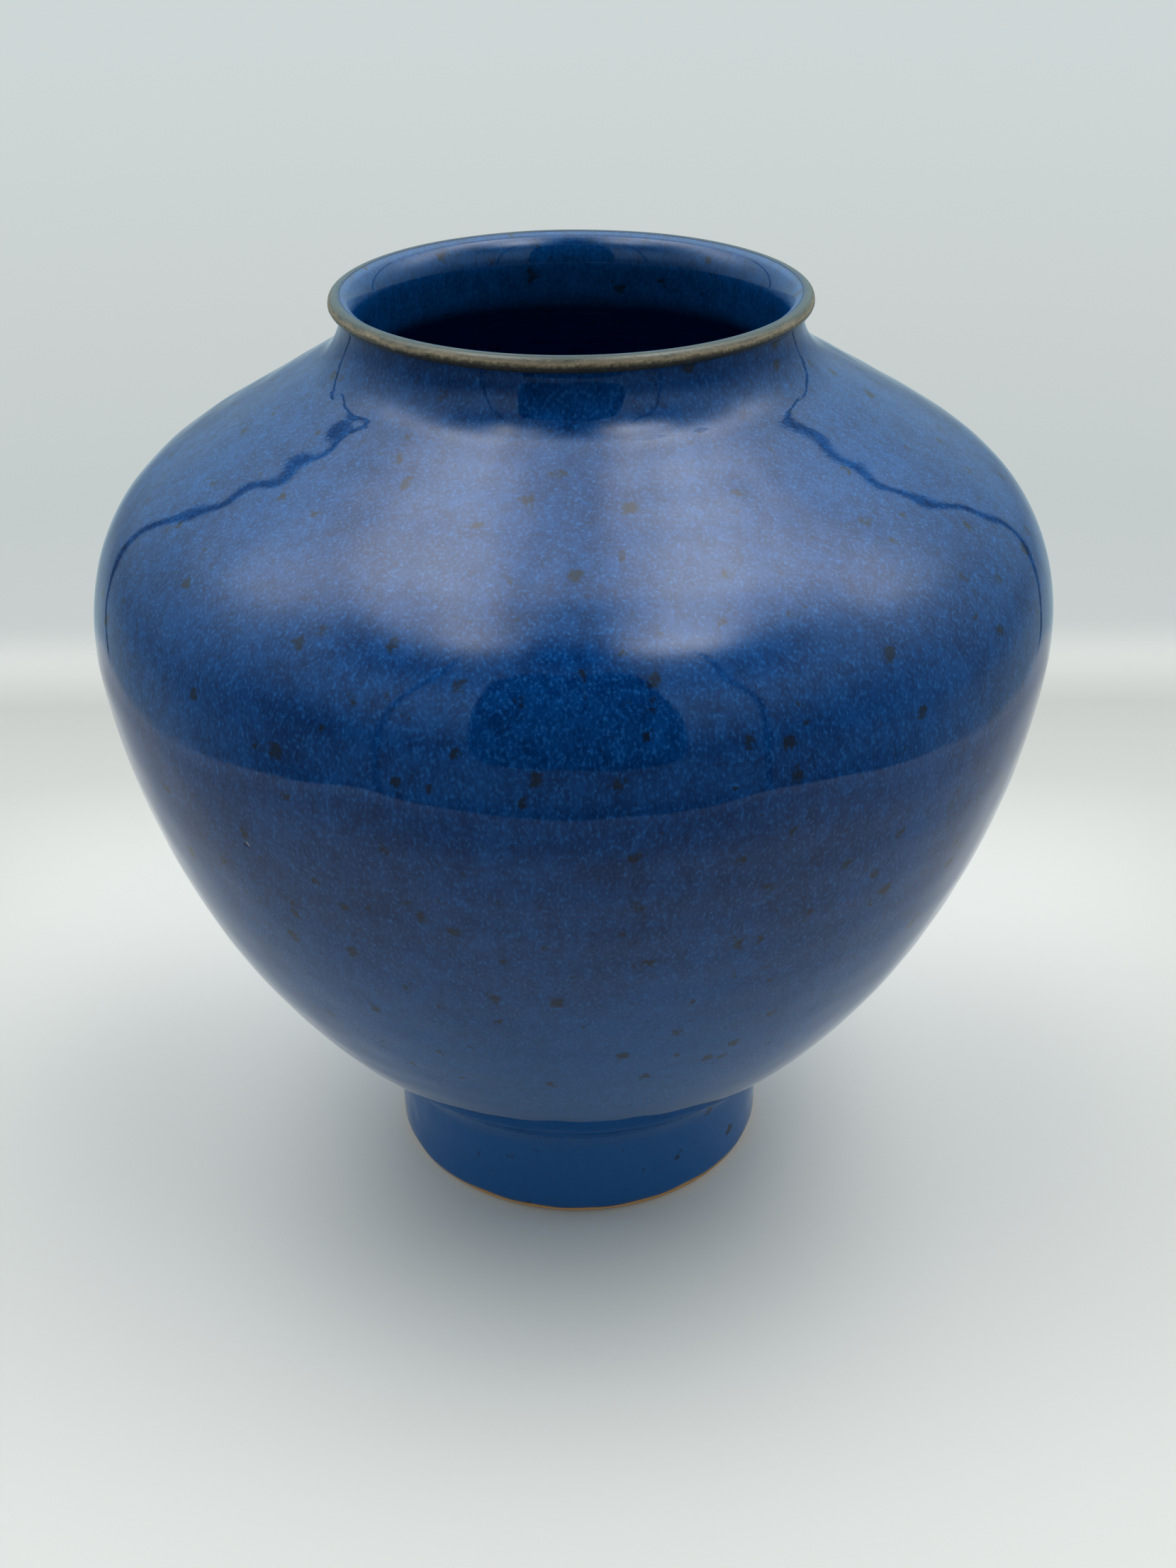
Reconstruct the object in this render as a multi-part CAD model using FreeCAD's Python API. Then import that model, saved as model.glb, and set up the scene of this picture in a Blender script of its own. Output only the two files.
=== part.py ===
import FreeCAD, Part
import math
import os

# A wheel-thrown stoneware vase: a wide high shoulder on a turned foot, a short neck and a rolled lip.
# The fired clay is made as it is built, as a foot ring, a thrown body and a lip rolled over the neck.
# Three coats of glaze lie on it: over the outside, over the lip and inside.
# Every piece is a ring about the vertical axis, so each is drawn as a half section (radius, height)
# and turned through a full circle. Sections that touch share the same lines.
# Lengths are in millimetres and angles in degrees. The origin is at the middle of the foot's underside.

# Overall sizes, over the glaze.
HEIGHT = 180.0
BELLY_RADIUS = 89.5
SHOULDER_DROP = 60.0        # from the top of the lip down to the widest part

# Foot.
FOOT_RADIUS = 38.5          # over the glaze, where the vase stands
FOOT_FLARE = 0.7            # how much wider the foot is at its top
FOOT_HEIGHT = 20.5          # to where the lines of the foot and the wall would cross
FOOT_HOLLOW = 10.0          # radius of the hollow between foot and wall
FOOT_RING_WIDTH = 6.5
FOOT_RECESS = 12.0          # depth of the turned recess under the floor
FOOT_EDGE = 0.7             # rounding of the ring's two lower edges
BARE_BAND = 1.2             # unglazed clay above the table

# Wall and floor.
WALL = 4.6                  # clay only
FLOOR = 7.0                 # clay only
BOWL_ROUND = 30.0           # radius inside, between floor and wall
WALL_ANGLE = 43.0           # of the lower wall, from level
WALL_RUN = 9.5              # straight stretch of the lower wall above the foot
WALL_FULLNESS = (0.89, 0.12)        # pull of the lower curve towards its corner, at each end

# Shoulder, neck and lip.
SHOULDER_ANGLE = 30.3       # of the upper shoulder, from level
SHOULDER_RUN = 21.8         # level width of its straight stretch, from the neck outwards
SHOULDER_FULLNESS = (1.0, 0.58)     # pull of the upper curve towards its corner, at each end
NECK_RADIUS = 40.9          # over the glaze, at the narrowest part
NECK_WALL = 3.0             # clay only
NECK_SWEEP = 12.0           # radius of the hollow sweep from the shoulder up to the neck
NECK_DROP = 1.2             # from the middle of the roll down to the neck's narrowest part
THROAT_DEPTH = 6.1          # from the top of the lip down to where the throat is narrowest
THROAT_ROUND = 4.0          # radius inside, between shoulder and throat
LIP_ROLL = 1.45             # radius of the rolled lip
LIP_SINK = 1.0              # how far the roll reaches into the side of the neck

# Glaze.
GLAZE = 0.4

UP = 90.0
WALL_HEADING = WALL_ANGLE
SHOULDER_HEADING = 180.0 - SHOULDER_ANGLE
FOOT_HEADING = math.degrees(math.atan2(FOOT_HEIGHT, FOOT_FLARE))
FULL_TURN = 360.0


def vector(radius, height):
    """A point of the half section."""
    return FreeCAD.Vector(radius, 0, height)


def along(heading):
    """The unit direction of a heading, turned up from level."""
    return vector(math.cos(math.radians(heading)), math.sin(math.radians(heading)))


def inward(point, heading, distance):
    """A point moved to the left of a heading: into the clay, on a line that climbs the outside."""
    return point + along(heading + UP) * distance


def meet(p, p_heading, q, q_heading):
    """Where two lines cross, each given by a point and a heading."""
    a, b = along(p_heading), along(q_heading)
    gap = q - p
    reach = (gap.x * b.z - gap.z * b.x) / (a.x * b.z - a.z * b.x)
    return p + a * reach


def line(p, q):
    return Part.LineSegment(p, q).toShape()


def arc(centre, start, end, middle_heading):
    """An arc about a centre, through the point that lies on the given heading."""
    middle = centre + along(middle_heading) * (start - centre).Length
    return Part.Arc(start, middle, end).toShape()


def corner_arc(corner, heading_in, heading_out, radius):
    """The two ends of the arc that rounds a corner, and the arc."""
    turn = heading_out - heading_in
    tangent = radius * math.tan(math.radians(abs(turn)) / 2)
    start = corner - along(heading_in) * tangent
    end = corner + along(heading_out) * tangent
    side = math.copysign(UP, turn)
    centre = start + along(heading_in + side) * radius
    return start, end, arc(centre, start, end, (heading_in + heading_out) / 2 - side)


def full_curve(start, corner, end, fullness):
    """A curve that leaves and arrives along the two lines through its corner."""
    poles = [start, start + (corner - start) * fullness[0], end + (corner - end) * fullness[1], end]
    curve = Part.BezierCurve()
    curve.setPoles(poles)
    return curve.toShape()


def turned(edges):
    """The solid that a closed half section makes."""
    face = Part.Face(Part.Wire(Part.__sortEdges__(edges)))
    return face.revolve(vector(0, 0), FreeCAD.Vector(0, 0, 1), FULL_TURN)


# Places that several sections share, on the outer surface of the glaze.
foot_base = vector(FOOT_RADIUS, 0)
foot_top = vector(FOOT_RADIUS + FOOT_FLARE, FOOT_HEIGHT)
belly = vector(BELLY_RADIUS, HEIGHT - SHOULDER_DROP)
roll_centre = vector(NECK_RADIUS - LIP_SINK + LIP_ROLL, HEIGHT - LIP_ROLL)
sweep_centre = vector(NECK_RADIUS + NECK_SWEEP, roll_centre.z - NECK_DROP)
shoulder_top = inward(sweep_centre, SHOULDER_HEADING, NECK_SWEEP)
shoulder_end = meet(shoulder_top, SHOULDER_HEADING, vector(NECK_RADIUS + SHOULDER_RUN, 0), UP)

# The throat's arc starts upright and runs smoothly into the roll.
throat_radius = NECK_RADIUS - NECK_WALL - 2 * GLAZE
throat_out = roll_centre.x - throat_radius
throat_up = roll_centre.z - (HEIGHT - THROAT_DEPTH)
throat_flare = (throat_out ** 2 + throat_up ** 2 - LIP_ROLL ** 2) / (2 * (throat_out - LIP_ROLL))
throat_centre = vector(throat_radius + throat_flare, HEIGHT - THROAT_DEPTH)
roll_heading = math.degrees(math.atan2(roll_centre.z - throat_centre.z, roll_centre.x - throat_centre.x))


def crease(depth):
    """Where the neck's sweep meets the underside of the roll, at a depth below the outer surface."""
    sweep, roll = NECK_SWEEP + depth, LIP_ROLL - depth
    to_roll = roll_centre - sweep_centre
    share = (sweep ** 2 - roll ** 2 + to_roll.Length ** 2) / (2 * to_roll.Length)
    side = math.sqrt(sweep ** 2 - share ** 2)
    unit = to_roll * (1 / to_roll.Length)
    return sweep_centre + unit * share + vector(-unit.z, unit.x) * side


def lip_join(depth):
    """Where the roll and the throat run into each other, at a depth below the glaze."""
    return roll_centre + along(roll_heading) * (LIP_ROLL - depth)


def bulge(depth):
    """The wall from its straight foot stretch to its straight shoulder stretch, at a depth."""
    start = inward(foot_top + along(WALL_HEADING) * WALL_RUN, WALL_HEADING, depth)
    middle = inward(belly, UP, depth)
    end = inward(shoulder_end, SHOULDER_HEADING, depth)
    low = full_curve(start, meet(start, WALL_HEADING, middle, UP), middle, WALL_FULLNESS)
    high = full_curve(middle, meet(middle, UP, end, SHOULDER_HEADING), end, SHOULDER_FULLNESS)
    return start, end, [low, high]


def foot_side(depth, height):
    """The point of the foot's side at a height, at a depth below the outer surface."""
    return meet(inward(foot_base, FOOT_HEADING, depth), FOOT_HEADING, vector(0, height), 0)


def outside(depth, height):
    """The outside from a height on the foot up to the crease under the lip, at a depth."""
    wall_start, wall_end, curves = bulge(depth)
    corner = meet(foot_side(depth, 0), FOOT_HEADING, wall_start, WALL_HEADING)
    low, high, hollow = corner_arc(corner, FOOT_HEADING, WALL_HEADING, FOOT_HOLLOW + depth)
    neck = inward(sweep_centre, SHOULDER_HEADING, NECK_SWEEP + depth)
    sweep = arc(sweep_centre, neck, crease(depth), (180 + SHOULDER_HEADING + UP) / 2)
    return [line(foot_side(depth, height), low), hollow, line(high, wall_start), *curves,
            line(wall_end, neck), sweep]


def inside(depth):
    """The inside from the middle of the floor up to the throat's flare, at a depth below its glaze."""
    wall_start, wall_end, curves = bulge(WALL + 2 * GLAZE - depth)
    floor = vector(0, FOOT_RECESS + FLOOR + GLAZE - depth)
    low, high, bowl = corner_arc(meet(floor, 0, wall_start, WALL_HEADING), 0, WALL_HEADING,
                                 BOWL_ROUND + depth)
    throat = vector(throat_radius + depth, throat_centre.z)
    under, over, shoulder = corner_arc(meet(wall_end, SHOULDER_HEADING, throat, UP), SHOULDER_HEADING, UP,
                                       THROAT_ROUND - depth)
    return [line(floor, low), bowl, line(high, wall_start), *curves, line(wall_end, under), shoulder,
            line(over, throat)]


def flare_point(depth, height):
    """The point of the throat's flare at a height, at a depth below its glaze."""
    rise = height - throat_centre.z
    return vector(throat_centre.x - math.sqrt((throat_flare - depth) ** 2 - rise ** 2), height)


def flare(depth, start, end):
    """A stretch of the throat's flare between two of its points."""
    middle = (start + end) * 0.5 - throat_centre
    heading = math.degrees(math.atan2(middle.z, middle.x))
    return arc(throat_centre, start, end, heading)


def roll(depth):
    """The rolled lip's round surface, from the crease over the top to the throat."""
    return arc(roll_centre, crease(depth), lip_join(depth), 0)


def foot_ring():
    """The turned ring that the vase stands on."""
    outer_foot = foot_side(GLAZE, 0)
    outer_top = foot_side(GLAZE, FOOT_RECESS)
    inner_radius = outer_foot.x - FOOT_RING_WIDTH
    outer_low = foot_side(GLAZE, FOOT_EDGE)
    inner_low = vector(inner_radius, FOOT_EDGE)
    outer_edge = vector(outer_foot.x - FOOT_EDGE, 0)
    inner_edge = vector(inner_radius + FOOT_EDGE, 0)
    return turned([
        line(inner_edge, outer_edge),
        arc(outer_edge + vector(0, FOOT_EDGE), outer_edge, outer_low, -45),
        line(outer_low, outer_top),
        line(outer_top, vector(inner_radius, FOOT_RECESS)),
        line(vector(inner_radius, FOOT_RECESS), inner_low),
        arc(inner_edge + vector(0, FOOT_EDGE), inner_low, inner_edge, -135),
    ])


def thrown_body():
    """The thrown clay: floor, wall, shoulder and neck, up to the level where the lip is rolled over."""
    top = crease(GLAZE)
    throat = flare_point(GLAZE, throat_centre.z)
    neck_top = flare_point(GLAZE, top.z)
    return turned([
        *outside(GLAZE, FOOT_RECESS),
        line(top, neck_top),
        flare(GLAZE, throat, neck_top),
        *inside(GLAZE),
        line(vector(0, FOOT_RECESS + FLOOR), vector(0, FOOT_RECESS)),
        line(vector(0, FOOT_RECESS), foot_side(GLAZE, FOOT_RECESS)),
    ])


def rolled_lip():
    """The clay of the lip."""
    base = crease(GLAZE)
    neck_top = flare_point(GLAZE, base.z)
    return turned([roll(GLAZE), flare(GLAZE, neck_top, lip_join(GLAZE)), line(neck_top, base)])


def body_glaze():
    """The coat over the outside, from the bare band at the foot up to the crease under the lip."""
    clay_edge = foot_side(GLAZE, BARE_BAND)
    glaze_edge = foot_side(0, BARE_BAND + GLAZE)
    edge_centre = clay_edge + vector(0, GLAZE)
    edge_middle = edge_centre + along(-45) * GLAZE
    return turned([
        Part.Arc(clay_edge, edge_middle, glaze_edge).toShape(),
        *outside(0, BARE_BAND + GLAZE),
        line(crease(0), crease(GLAZE)),
        *outside(GLAZE, BARE_BAND),
    ])


def lip_glaze():
    """The thin coat over the rolled lip."""
    return turned([roll(0), line(lip_join(0), lip_join(GLAZE)), roll(GLAZE), line(crease(GLAZE), crease(0))])


def liner_glaze():
    """The coat inside, from the floor up to the lip."""
    edges = []
    for depth in (0, GLAZE):
        throat = flare_point(depth, throat_centre.z)
        edges += [*inside(depth), flare(depth, throat, lip_join(depth))]
    floor = FOOT_RECESS + FLOOR
    return turned(edges + [line(lip_join(0), lip_join(GLAZE)), line(vector(0, floor), vector(0, floor + GLAZE))])


PIECES = {
    "foot_ring": foot_ring,
    "thrown_body": thrown_body,
    "rolled_lip": rolled_lip,
    "body_glaze": body_glaze,
    "lip_glaze": lip_glaze,
    "liner_glaze": liner_glaze,
}

os.makedirs("parts", exist_ok=True)
for name, make in PIECES.items():
    solid = make()
    solid.exportStep(f"parts/{name}.step")
    print(f"{name}: volume {solid.Volume / 1000:.2f} cm3, valid {solid.isValid()}")
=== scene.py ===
import logging
import math
from dataclasses import dataclass, field
from enum import Enum
from functools import partial
from typing import Callable, ClassVar

import bpy
import numpy as np
from bpy.types import ID, Material, Node, NodeSocket, NodeTree, Object
from mathutils import Matrix


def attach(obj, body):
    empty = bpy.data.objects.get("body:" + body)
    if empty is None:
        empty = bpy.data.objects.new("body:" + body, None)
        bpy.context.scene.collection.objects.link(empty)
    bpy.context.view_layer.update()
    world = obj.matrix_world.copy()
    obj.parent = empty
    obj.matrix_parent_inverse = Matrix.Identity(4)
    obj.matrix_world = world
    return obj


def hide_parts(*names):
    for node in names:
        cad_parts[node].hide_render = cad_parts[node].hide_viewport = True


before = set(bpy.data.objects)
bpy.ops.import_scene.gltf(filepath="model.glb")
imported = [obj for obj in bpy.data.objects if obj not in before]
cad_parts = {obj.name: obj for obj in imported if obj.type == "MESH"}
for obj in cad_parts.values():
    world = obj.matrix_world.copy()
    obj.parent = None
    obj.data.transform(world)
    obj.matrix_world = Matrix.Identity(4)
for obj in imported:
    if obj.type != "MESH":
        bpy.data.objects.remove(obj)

# A wheel-thrown stoneware vase with a blue glaze, dressed over its fired clay and its three coats of glaze.
# Every piece is a closed half section (radius, height) carried round the vertical axis, in millimetres,
# and put into its mesh in metres.

log = logging.getLogger("vase")
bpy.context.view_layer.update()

Array = np.ndarray
Wall = tuple[tuple[float, float], ...]      # pairs of the elevation's sine and a brightness

MM = 0.001
UP = 90.0
ROOT = "root"
SEED = 7


class Slot(Enum):
    """The record's material slots."""

    CLAY = "stoneware_clay"
    BLUE = "blue_glaze"
    LIP = "lip_glaze"
    LINER = "liner_glaze"


# Half sections: arrays of (radius, height) in millimetres.


def point(radius: float, height: float) -> Array:
    """A point of the half section."""
    return np.array([radius, height], dtype=float)


def along(heading: float) -> Array:
    """The unit direction of a heading in degrees: its cosine outwards, its sine upwards."""
    return np.array([math.cos(math.radians(heading)), math.sin(math.radians(heading))])


def inward(start: Array, heading: float, distance: float) -> Array:
    """A point moved to the left of a heading, which is into the clay on a line that climbs the outside."""
    return start + along(heading + UP) * distance


def meet(p: Array, p_heading: float, q: Array, q_heading: float) -> Array:
    """Where two lines cross: the reach along the first is the cross product of the gap with the second
    direction, over the cross product of the two directions.

    Args:
        p: A point on the first line.
        p_heading: The first line's heading.
        q: A point on the second line.
        q_heading: The second line's heading.

    Returns:
        The crossing point.
    """
    a, b = along(p_heading), along(q_heading)
    gap = q - p
    reach = (gap[0] * b[1] - gap[1] * b[0]) / (a[0] * b[1] - a[1] * b[0])
    return p + a * reach


def arc(centre: Array, start: Array, end: Array, count: int = 48) -> Array:
    """Points of the shorter arc about a centre: the heading runs evenly from the start's to the end's.

    Args:
        centre: The centre of the circle.
        start: The first point, which sets the radius.
        end: The last point.
        count: How many points.

    Returns:
        An array of points, both ends included.
    """
    radius = np.linalg.norm(start - centre)
    first = math.atan2(start[1] - centre[1], start[0] - centre[0])
    last = math.atan2(end[1] - centre[1], end[0] - centre[0])
    turn = (last - first + math.pi) % (2 * math.pi) - math.pi
    angle = first + turn * np.linspace(0, 1, count)
    return centre + radius * np.stack([np.cos(angle), np.sin(angle)], axis=1)


def corner_arc(corner: Array, heading_in: float, heading_out: float, radius: float) -> Array:
    """Points of the arc that rounds a corner: it starts a tangent length, the radius times the tangent of
    half the turn, before the corner."""
    turn = heading_out - heading_in
    tangent = radius * math.tan(math.radians(abs(turn)) / 2)
    start = corner - along(heading_in) * tangent
    end = corner + along(heading_out) * tangent
    centre = start + along(heading_in + math.copysign(UP, turn)) * radius
    return arc(centre, start, end)


def full_curve(start: Array, corner: Array, end: Array,
               fullness: tuple[float, float], count: int = 96) -> Array:
    """Points of the cubic Bezier curve that leaves and arrives along the two lines through its corner.

    Args:
        start: The first point.
        corner: Where the end tangents cross.
        end: The last point.
        fullness: How far each inner control point goes towards the corner.
        count: How many points.

    Returns:
        The points: each is the four control points weighted by the cubic Bernstein polynomials.
    """
    t = np.linspace(0, 1, count)[:, None]
    near = start + (corner - start) * fullness[0]
    far = end + (corner - end) * fullness[1]
    return (1 - t) ** 3 * start + 3 * (1 - t) ** 2 * t * near + 3 * (1 - t) * t ** 2 * far + t ** 3 * end


def chain(*parts: Array) -> Array:
    """Joins stretches end to end and drops points that repeat the one before."""
    points = np.concatenate([np.atleast_2d(part) for part in parts])
    step = np.linalg.norm(np.diff(points, axis=0), axis=1)
    return points[np.concatenate([[True], step > 1e-6])]


def resample(points: Array, spacing: float) -> Array:
    """Points spaced evenly along a path, worked out by its running length."""
    run = np.concatenate([[0], np.cumsum(np.linalg.norm(np.diff(points, axis=0), axis=1))])
    count = max(2, int(round(run[-1] / spacing)) + 1)
    at = np.linspace(0, run[-1], count)
    return np.stack([np.interp(at, run, points[:, 0]), np.interp(at, run, points[:, 1])], axis=1)


@dataclass
class Outline:
    """The vase's half section, with the same sizes as the CAD model, in millimetres and degrees."""

    height: float = 180.0
    belly_radius: float = 89.5
    shoulder_drop: float = 60.0
    foot_radius: float = 38.5
    foot_flare: float = 0.7
    foot_height: float = 20.5
    foot_hollow: float = 10.0
    foot_ring_width: float = 6.5
    foot_recess: float = 12.0
    foot_edge: float = 0.7
    bare_band: float = 1.2
    wall: float = 4.6
    floor: float = 7.0
    bowl_round: float = 30.0
    wall_angle: float = 43.0
    wall_run: float = 9.5
    wall_fullness: tuple[float, float] = (0.89, 0.12)
    shoulder_angle: float = 30.3
    shoulder_run: float = 21.8
    shoulder_fullness: tuple[float, float] = (1.0, 0.58)
    neck_radius: float = 40.9
    neck_wall: float = 3.0
    neck_sweep: float = 12.0
    neck_drop: float = 1.2
    throat_depth: float = 6.1
    throat_round: float = 4.0
    lip_roll: float = 1.45
    lip_sink: float = 1.0
    glaze: float = 0.4

    def __post_init__(self) -> None:
        """Works out the places that several sections share, on the outer surface of the glaze."""
        self.climb = 180.0 - self.shoulder_angle
        self.foot_heading = math.degrees(math.atan2(self.foot_height, self.foot_flare))
        self.foot_base = point(self.foot_radius, 0)
        self.foot_top = point(self.foot_radius + self.foot_flare, self.foot_height)
        self.belly = point(self.belly_radius, self.height - self.shoulder_drop)
        self.roll_centre = point(self.neck_radius - self.lip_sink + self.lip_roll,
                                 self.height - self.lip_roll)
        self.sweep_centre = point(self.neck_radius + self.neck_sweep, self.roll_centre[1] - self.neck_drop)
        top = inward(self.sweep_centre, self.climb, self.neck_sweep)
        self.shoulder_end = meet(top, self.climb, point(self.neck_radius + self.shoulder_run, 0), UP)
        self.throat_radius = self.neck_radius - self.neck_wall - 2 * self.glaze
        out = self.roll_centre[0] - self.throat_radius
        rise = self.roll_centre[1] - (self.height - self.throat_depth)
        self.throat_flare = (out ** 2 + rise ** 2 - self.lip_roll ** 2) / (2 * (out - self.lip_roll))
        self.throat_centre = point(self.throat_radius + self.throat_flare, self.height - self.throat_depth)
        gap = self.roll_centre - self.throat_centre
        self.roll_heading = math.degrees(math.atan2(gap[1], gap[0]))

    def crease(self, depth: float) -> Array:
        """Where the neck's sweep meets the underside of the roll: the crossing of two circles."""
        sweep, roll = self.neck_sweep + depth, self.lip_roll - depth
        gap = self.roll_centre - self.sweep_centre
        span = np.linalg.norm(gap)
        share = (sweep ** 2 - roll ** 2 + span ** 2) / (2 * span)
        side = math.sqrt(sweep ** 2 - share ** 2)
        unit = gap / span
        return self.sweep_centre + unit * share + np.array([-unit[1], unit[0]]) * side

    def lip_join(self, depth: float) -> Array:
        """Where the roll and the throat run into each other."""
        return self.roll_centre + along(self.roll_heading) * (self.lip_roll - depth)

    def foot_side(self, depth: float, height: float) -> Array:
        """The point of the foot's side at a height."""
        return meet(inward(self.foot_base, self.foot_heading, depth), self.foot_heading, point(0, height), 0)

    def bulge(self, depth: float) -> Array:
        """The wall from its straight foot stretch to its straight shoulder stretch."""
        start = inward(self.foot_top + along(self.wall_angle) * self.wall_run, self.wall_angle, depth)
        middle = inward(self.belly, UP, depth)
        end = inward(self.shoulder_end, self.climb, depth)
        low = full_curve(start, meet(start, self.wall_angle, middle, UP), middle, self.wall_fullness)
        high = full_curve(middle, meet(middle, UP, end, self.climb), end, self.shoulder_fullness)
        return chain(low, high)

    def outside(self, depth: float, height: float) -> Array:
        """The outside from a height on the foot up to the crease under the lip."""
        bulge = self.bulge(depth)
        corner = meet(self.foot_side(depth, 0), self.foot_heading, bulge[0], self.wall_angle)
        hollow = corner_arc(corner, self.foot_heading, self.wall_angle, self.foot_hollow + depth)
        neck = inward(self.sweep_centre, self.climb, self.neck_sweep + depth)
        sweep = arc(self.sweep_centre, neck, self.crease(depth))
        return chain(self.foot_side(depth, height), hollow, bulge, sweep)

    def inside(self, depth: float) -> Array:
        """The inside from the middle of the floor up over the throat's flare to the lip."""
        bulge = self.bulge(self.wall + 2 * self.glaze - depth)
        floor = point(0, self.foot_recess + self.floor + self.glaze - depth)
        bowl = corner_arc(meet(floor, 0, bulge[0], self.wall_angle), 0, self.wall_angle,
                          self.bowl_round + depth)
        throat = point(self.throat_radius + depth, self.throat_centre[1])
        shoulder = corner_arc(meet(bulge[-1], self.climb, throat, UP), self.climb, UP,
                              self.throat_round - depth)
        flare = arc(self.throat_centre, throat, self.lip_join(depth))
        return chain(floor, bowl, bulge, shoulder, flare)

    def roll(self, depth: float) -> Array:
        """The rolled lip's round surface, from the crease over the top to the throat."""
        radius = self.lip_roll - depth
        low = self.crease(depth) - self.roll_centre
        first = math.degrees(math.atan2(low[1], low[0]))
        if first > self.roll_heading:
            first -= 360.0
        angle = np.radians(np.linspace(first, self.roll_heading, 96))
        return self.roll_centre + radius * np.stack([np.cos(angle), np.sin(angle)], axis=1)

    def flare_radius(self, depth: float, height: float) -> float:
        """The radius of the throat's flare at a height."""
        rise = height - self.throat_centre[1]
        return self.throat_centre[0] - math.sqrt((self.throat_flare - depth) ** 2 - rise ** 2)


# Surfaces


def smooth_step(x: Array, low: float, high: float) -> Array:
    """A soft step: the share of the way from low to high, clipped, in the cubic three t squared less two
    t cubed."""
    t = np.clip((x - low) / (high - low), 0, 1)
    return t * t * (3 - 2 * t)


def waves(angle: Array, run: Array, radius: float, length: tuple[float, float],
          count: int, seed: int) -> Array:
    """Uneven ripples: the mean of cosines whose directions, phases and wavelengths are drawn at random,
    each with a whole number of waves around.

    Args:
        angle: The angle around the axis at each grid point, in radians.
        run: The running length of the section at each grid point, in millimetres.
        radius: The radius at which the wavelengths are true, in millimetres.
        length: The shortest and longest wavelength, in millimetres.
        count: How many cosines.
        seed: The seed of the random draws.

    Returns:
        The ripple at each grid point, about -1 to 1.
    """
    draw = np.random.default_rng(seed)
    total = np.zeros(np.broadcast(angle, run).shape)
    for _ in range(count):
        number = 2 * math.pi / draw.uniform(*length)
        way = draw.uniform(0, math.pi)
        around = round(number * math.cos(way) * radius)
        total += np.cos(around * angle + number * math.sin(way) * run + draw.uniform(0, 2 * math.pi))
    return total / math.sqrt(count)


@dataclass
class Turned:
    """A closed half section carried round the axis, with relief along the section's own normals."""

    name: str
    section: Array
    sides: int
    relief: Array
    lift: Array | float = 0.0      # added to the heights
    marks: dict[str, Array] = field(default_factory=dict)

    def normals(self) -> Array:
        """The section's outward unit normals: the direction from the point before to the point after,
        turned a quarter turn to the right."""
        ahead = np.roll(self.section, -1, axis=0)
        behind = np.roll(self.section, 1, axis=0)
        way = ahead - behind
        way /= np.maximum(np.linalg.norm(way, axis=1, keepdims=True), 1e-9)
        return np.stack([way[:, 1], -way[:, 0]], axis=1)

    def build(self) -> Object:
        """Makes the mesh: x is the radius times the cosine of the angle, y the radius times its sine, z
        the height. A section point on the axis becomes one vertex, and the two rings beside the axis
        are joined to it by triangles.

        Returns:
            The object, at the origin, with its place in its mesh.
        """
        angle, normal = angles(self.sides), self.normals()
        radius = self.section[:, :1] + normal[:, :1] * self.relief
        height = self.section[:, 1:] + normal[:, 1:] * self.relief + self.lift
        grid = np.stack([radius * np.cos(angle), radius * np.sin(angle), height], axis=2) * MM
        polar = self.section[:, 0] < 1e-6
        next_polar = np.roll(polar, -1)
        keep = np.ones(radius.shape, dtype=bool)
        keep[polar, 1:] = False
        points = grid[keep]
        ends = np.cumsum(np.where(polar, 1, self.sides))
        first = np.concatenate([[0], ends[:-1]])
        here = first[:, None] + np.where(polar[:, None], 0, np.arange(self.sides)[None, :])
        there = np.roll(here, -1, axis=0)
        beside, beside_there = np.roll(here, -1, axis=1), np.roll(there, -1, axis=1)
        quads = np.stack([here, beside, beside_there, there], axis=2)[~polar & ~next_polar].reshape(-1, 4)
        fans = np.concatenate([
            np.stack([here, beside, there], axis=2)[~polar & next_polar].reshape(-1, 3),
            np.stack([here, beside_there, there], axis=2)[polar & ~next_polar].reshape(-1, 3)])
        mesh = bpy.data.meshes.new(self.name)
        corners = np.concatenate([quads.ravel(), fans.ravel()]).astype(np.int32)
        starts = np.concatenate([
            np.arange(len(quads)) * 4, len(quads) * 4 + np.arange(len(fans)) * 3]).astype(np.int32)
        mesh.vertices.add(len(points))
        mesh.vertices.foreach_set("co", points.astype(np.float32).ravel())
        mesh.loops.add(len(corners))
        mesh.loops.foreach_set("vertex_index", corners)
        mesh.polygons.add(len(starts))
        mesh.polygons.foreach_set("loop_start", starts)
        mesh.update(calc_edges=True)
        mesh.validate()
        mesh.polygons.foreach_set("use_smooth", np.ones(len(starts), dtype=bool))
        for title, values in self.marks.items():
            mark = mesh.attributes.new(title, "FLOAT", "POINT")
            spread = np.broadcast_to(values, radius.shape)
            mark.data.foreach_set("value", spread[keep].astype(np.float32))
        log.info("%s: %d faces", self.name, len(starts))
        return put(self.name, mesh)


def put(name: str, data: ID) -> Object:
    """Puts new data into the scene as an object at the origin."""
    made = bpy.data.objects.new(name, data)
    bpy.context.scene.collection.objects.link(made)
    return made


def angles(sides: int) -> Array:
    """The angles around the axis, as one row."""
    return np.linspace(0, 2 * math.pi, sides, endpoint=False)[None, :]


def running(section: Array) -> Array:
    """The running length of a section at each of its points, as one column."""
    step = np.linalg.norm(np.diff(section, axis=0), axis=1)
    return np.concatenate([[0], np.cumsum(step)])[:, None]


# Finishes

OPTIONS = {"Math": "operation", "VectorMath": "operation", "MapRange": "interpolation_type",
           "Mix": "data_type"}
Source = Node | NodeSocket
Adder = Callable[..., Node]


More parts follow.
